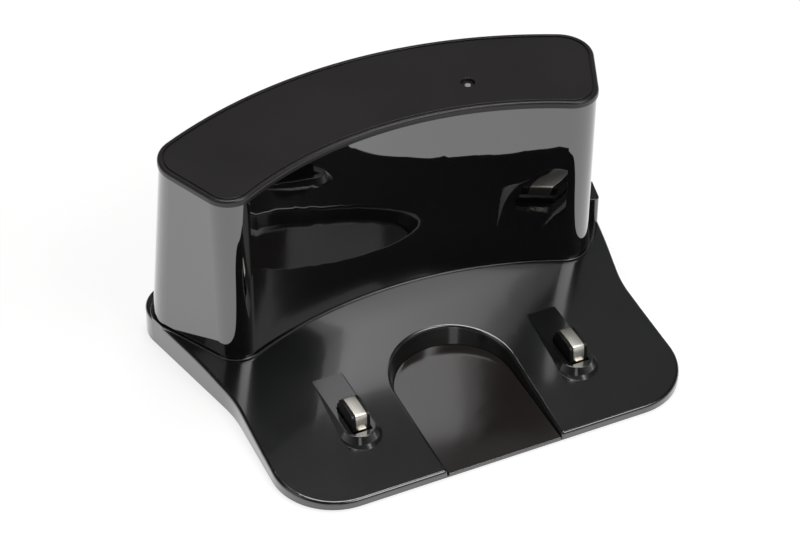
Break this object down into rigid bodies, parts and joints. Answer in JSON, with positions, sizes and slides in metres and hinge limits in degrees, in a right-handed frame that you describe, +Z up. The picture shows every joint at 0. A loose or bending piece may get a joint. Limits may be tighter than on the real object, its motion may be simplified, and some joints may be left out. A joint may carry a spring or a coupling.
{
  "type": "robot vacuum charging dock",
  "caption": "Robot vacuum charging dock with a low ramped base, a curved upright for the robot to nest in, and sprung charging contacts.",
  "frame": {"origin": "on the floor, under the middle of the dock's bounding box", "axes": "+Z up, -Y out of the front, towards the robot, +X to the dock's right as the robot sees it from the front"},
  "size_m": [0.249, 0.197, 0.1177],
  "materials": {
    "satin_black_plastic": "satin",
    "gloss_window": "polished",
    "gloss_pad": "polished",
    "black_inner_plastic": "matte",
    "clear_grey_plastic": "polished",
    "dark_lens_plastic": "polished",
    "board_laminate": "satin",
    "connector_plastic": "satin",
    "nickel_contact": "polished",
    "spring_steel": "satin",
    "screw_steel": "satin",
    "ballast_steel": "rough",
    "foot_rubber": "matte"
  },
  "bodies": {
    "dock": {"base_casing": "satin_black_plastic", "bottom_plate": "black_inner_plastic", "recess_pad": "gloss_pad", "ir_window": "gloss_window", "rear_cover": "satin_black_plastic", "lid": "satin_black_plastic", "light_pipe": "clear_grey_plastic", "inner_frame": "black_inner_plastic", "main_board": "board_laminate", "status_lamp": "clear_grey_plastic", "board_connector": "connector_plastic", "beacon_led_1": "dark_lens_plastic", "beacon_led_2": "dark_lens_plastic", "beacon_led_3": "dark_lens_plastic", "beacon_led_4": "dark_lens_plastic", "beacon_shroud": "black_inner_plastic", "power_socket": "black_inner_plastic", "block_cap": "satin_black_plastic", "ballast_plate": "ballast_steel", "foot_front_left": "foot_rubber", "foot_front_right": "foot_rubber", "foot_rear_left": "foot_rubber", "foot_rear_right": "foot_rubber", "base_screws": "screw_steel", "upright_screws": "screw_steel", "contact_spring_left": "spring_steel", "contact_spring_right": "spring_steel"},
    "left_contact": {"contact_left": "nickel_contact", "contact_carrier_left": "black_inner_plastic"},
    "right_contact": {"contact_right": "nickel_contact", "contact_carrier_right": "black_inner_plastic"}
  },
  "joints": [
    {"name": "left_contact_press", "type": "slide", "parent": "dock", "child": "left_contact", "axis": [0, 0, 1], "range_m": [-0.0045, 0], "stiffness_N_per_m": 320, "springref_m": 0.002, "deforming": ["contact_spring_left"]},
    {"name": "right_contact_press", "type": "slide", "parent": "dock", "child": "right_contact", "axis": [0, 0, 1], "range_m": [-0.0045, 0], "stiffness_N_per_m": 320, "springref_m": 0.002, "deforming": ["contact_spring_right"]}
  ]
}
